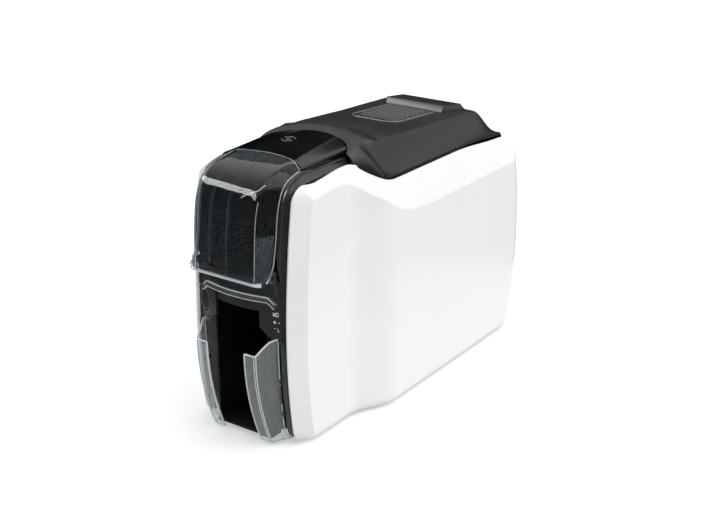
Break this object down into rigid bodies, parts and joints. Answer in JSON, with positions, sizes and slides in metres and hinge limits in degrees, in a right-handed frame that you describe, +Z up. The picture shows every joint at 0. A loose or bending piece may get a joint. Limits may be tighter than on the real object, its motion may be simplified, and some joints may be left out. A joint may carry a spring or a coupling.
{
  "type": "id card printer",
  "caption": "Slim desktop card printer: waisted white side covers, black hinged lid with print head, clear card door, stacking bin between clear wings.",
  "frame": {"origin": "on the table, under the centre of the bounding box", "axes": "+X right seen from the front, +Y towards the back, +Z up; the door and the bin are at -Y"},
  "size_m": [0.158, 0.383, 0.2548],
  "materials": {
    "white_cover": "gloss",
    "black_satin": "satin",
    "black_gloss": "gloss",
    "dark_bezel": "satin",
    "clear_plastic": "gloss",
    "black_inner": "matte",
    "grey_button": "satin",
    "lens_white": "gloss",
    "rubber": "matte",
    "sheet_steel": "satin",
    "steel_shaft": "polished",
    "bush_bronze": "satin",
    "gear_plastic": "satin",
    "pinion_brass": "satin",
    "motor_black": "satin",
    "motor_steel": "satin",
    "cassette_blue": "satin",
    "ribbon": "gloss",
    "board_green": "satin",
    "head_ceramic": "satin"
  },
  "bodies": {
    "machine": {"side_cover_right": "white_cover", "side_cover_left": "white_cover", "base_tray": "black_inner", "rubber_feet": "rubber", "front_bezel": "dark_bezel", "lower_front": "dark_bezel", "hopper_cap": "black_gloss", "exit_bar": "clear_plastic", "output_wing_right": "clear_plastic", "output_wing_left": "clear_plastic", "output_bin": "black_inner", "status_lenses": "lens_white", "front_board": "board_green", "card_hopper": "black_inner", "hinge_pin": "steel_shaft", "rear_panel": "black_satin", "power_inlet": "black_inner", "data_ports": "sheet_steel", "chassis_plate_right": "sheet_steel", "chassis_plate_left": "sheet_steel", "tie_bars": "steel_shaft", "shaft_bushes": "bush_bronze", "drive_motor": "motor_black", "card_guides": "black_inner", "ribbon_cassette": "cassette_blue", "ribbon_film": "ribbon", "ribbon_motor": "motor_steel", "main_board": "board_green", "board_standoffs": "bush_bronze", "cover_screws": "steel_shaft"},
    "pick_roller": {"pick_roller": "rubber"},
    "feed_roller": {"feed_roller": "rubber"},
    "front_roller": {"front_roller": "rubber"},
    "platen_roller": {"platen_roller": "rubber"},
    "exit_roller": {"exit_roller": "rubber"},
    "feed_pinch": {"feed_pinch": "rubber"},
    "front_pinch": {"front_pinch": "rubber"},
    "exit_pinch": {"exit_pinch": "rubber"},
    "motor_idler": {"motor_idler": "gear_plastic"},
    "front_idler": {"front_idler": "gear_plastic"},
    "feed_idler": {"feed_idler": "gear_plastic"},
    "pick_idler": {"pick_idler": "gear_plastic"},
    "exit_idler": {"exit_idler": "gear_plastic"},
    "motor_pinion": {"motor_pinion": "pinion_brass"},
    "gate": {"gate_flap": "black_satin"},
    "supply": {"supply_spool": "ribbon"},
    "takeup": {"takeup_spool": "ribbon"},
    "ribbon_hub": {"ribbon_drive": "gear_plastic"},
    "ribbon_pinion": {"ribbon_pinion": "pinion_brass"},
    "door": {"input_door": "clear_plastic", "door_pins": "steel_shaft"},
    "lid": {"top_lid": "black_satin", "latch_bearings": "black_inner", "lid_knuckles": "black_inner", "printhead_bracket": "sheet_steel", "printhead": "head_ceramic"},
    "latch": {"lid_latch": "dark_bezel"},
    "hooks": {"latch_hooks": "sheet_steel"},
    "weight": {"card_weight": "black_satin"},
    "button": {"power_button": "grey_button"}
  },
  "joints": [
    {"name": "lid_hinge", "type": "hinge", "parent": "machine", "child": "lid", "pos_m": [0, 0.1595, 0.204], "axis": [-1, 0, 0], "range_deg": [0, 60]},
    {"name": "latch_press", "type": "hinge", "parent": "lid", "child": "latch", "pos_m": [0, 0.093, 0.2364], "axis": [1, 0, 0], "range_deg": [0, 6], "stiffness_Nm_per_rad": 0.6},
    {"name": "hook_swing", "type": "hinge", "parent": "lid", "child": "hooks", "pos_m": [0, -0.038, 0.238], "axis": [1, 0, 0], "range_deg": [0, 12]},
    {"name": "door_hinge", "type": "hinge", "parent": "machine", "child": "door", "pos_m": [0, -0.176, 0.162], "axis": [1, 0, 0], "range_deg": [0, 60]},
    {"name": "weight_slide", "type": "slide", "parent": "machine", "child": "weight", "axis": [0, 0, 1], "range_m": [0, 0.06]},
    {"name": "button_press", "type": "slide", "parent": "machine", "child": "button", "axis": [0, 1, 0], "range_m": [0, 0.0015], "stiffness_N_per_m": 400},
    {"name": "platen_spin", "type": "hinge", "parent": "machine", "child": "platen_roller", "pos_m": [0, 0.05, 0.152], "axis": [1, 0, 0], "continuous": true},
    {"name": "front_roller_spin", "type": "hinge", "parent": "machine", "child": "front_roller", "pos_m": [0, -0.01, 0.1545], "axis": [1, 0, 0], "continuous": true},
    {"name": "feed_roller_spin", "type": "hinge", "parent": "machine", "child": "feed_roller", "pos_m": [0, -0.064, 0.1545], "axis": [1, 0, 0], "continuous": true},
    {"name": "pick_roller_spin", "type": "hinge", "parent": "machine", "child": "pick_roller", "pos_m": [0, -0.12, 0.1526], "axis": [1, 0, 0], "continuous": true},
    {"name": "exit_roller_spin", "type": "hinge", "parent": "machine", "child": "exit_roller", "pos_m": [0, -0.0901, 0.0925], "axis": [1, 0, 0], "continuous": true},
    {"name": "motor_idler_spin", "type": "hinge", "parent": "machine", "child": "motor_idler", "pos_m": [0, 0.065, 0.12602], "axis": [1, 0, 0], "continuous": true},
    {"name": "front_idler_spin", "type": "hinge", "parent": "machine", "child": "front_idler", "pos_m": [0, 0.0196, 0.14374], "axis": [1, 0, 0], "continuous": true},
    {"name": "feed_idler_spin", "type": "hinge", "parent": "machine", "child": "feed_idler", "pos_m": [0, -0.037, 0.14325], "axis": [1, 0, 0], "continuous": true},
    {"name": "pick_idler_spin", "type": "hinge", "parent": "machine", "child": "pick_idler", "pos_m": [0, -0.09172, 0.14515], "axis": [1, 0, 0], "continuous": true},
    {"name": "exit_idler_spin", "type": "hinge", "parent": "machine", "child": "exit_idler", "pos_m": [0, -0.06997, 0.12052], "axis": [1, 0, 0], "continuous": true},
    {"name": "motor_pinion_spin", "type": "hinge", "parent": "machine", "child": "motor_pinion", "pos_m": [0, 0.0515, 0.10264], "axis": [1, 0, 0], "continuous": true},
    {"name": "feed_pinch_spin", "type": "hinge", "parent": "machine", "child": "feed_pinch", "pos_m": [0, -0.064, 0.16706], "axis": [1, 0, 0], "continuous": true},
    {"name": "front_pinch_spin", "type": "hinge", "parent": "machine", "child": "front_pinch", "pos_m": [0, -0.01, 0.16706], "axis": [1, 0, 0], "continuous": true},
    {"name": "exit_pinch_spin", "type": "hinge", "parent": "machine", "child": "exit_pinch", "pos_m": [0, -0.0901, 0.10506], "axis": [1, 0, 0], "continuous": true},
    {"name": "gate_swing", "type": "hinge", "parent": "machine", "child": "gate", "pos_m": [0, -0.024, 0.153], "axis": [1, 0, 0], "range_deg": [0, 20]},
    {"name": "ribbon_hub_spin", "type": "hinge", "parent": "machine", "child": "ribbon_hub", "pos_m": [0, 0.108, 0.194], "axis": [1, 0, 0], "continuous": true},
    {"name": "takeup_spin", "type": "hinge", "parent": "machine", "child": "takeup", "pos_m": [0, 0.108, 0.194], "axis": [1, 0, 0], "continuous": true},
    {"name": "supply_spin", "type": "hinge", "parent": "machine", "child": "supply", "pos_m": [0, -0.012, 0.198], "axis": [1, 0, 0], "continuous": true},
    {"name": "ribbon_pinion_spin", "type": "hinge", "parent": "machine", "child": "ribbon_pinion", "pos_m": [0, 0.11421, 0.17082], "axis": [1, 0, 0], "continuous": true}
  ],
  "couplings": [
    {"joint": "motor_idler_spin", "follows": "platen_spin", "ratio": -0.66667},
    {"joint": "motor_pinion_spin", "follows": "platen_spin", "ratio": 1.3333},
    {"joint": "front_idler_spin", "follows": "platen_spin", "ratio": -0.61538},
    {"joint": "front_roller_spin", "follows": "platen_spin", "ratio": 1},
    {"joint": "feed_idler_spin", "follows": "platen_spin", "ratio": -0.69565},
    {"joint": "feed_roller_spin", "follows": "platen_spin", "ratio": 1},
    {"joint": "pick_idler_spin", "follows": "platen_spin", "ratio": -0.69565},
    {"joint": "pick_roller_spin", "follows": "platen_spin", "ratio": 1},
    {"joint": "exit_idler_spin", "follows": "platen_spin", "ratio": -0.53333},
    {"joint": "exit_roller_spin", "follows": "platen_spin", "ratio": 1},
    {"joint": "takeup_spin", "follows": "ribbon_hub_spin", "ratio": 1},
    {"joint": "supply_spin", "follows": "ribbon_hub_spin", "ratio": 0.64706},
    {"joint": "ribbon_pinion_spin", "follows": "ribbon_hub_spin", "ratio": -1.6667},
    {"joint": "hook_swing", "follows": "latch_press", "ratio": 2}
  ]
}
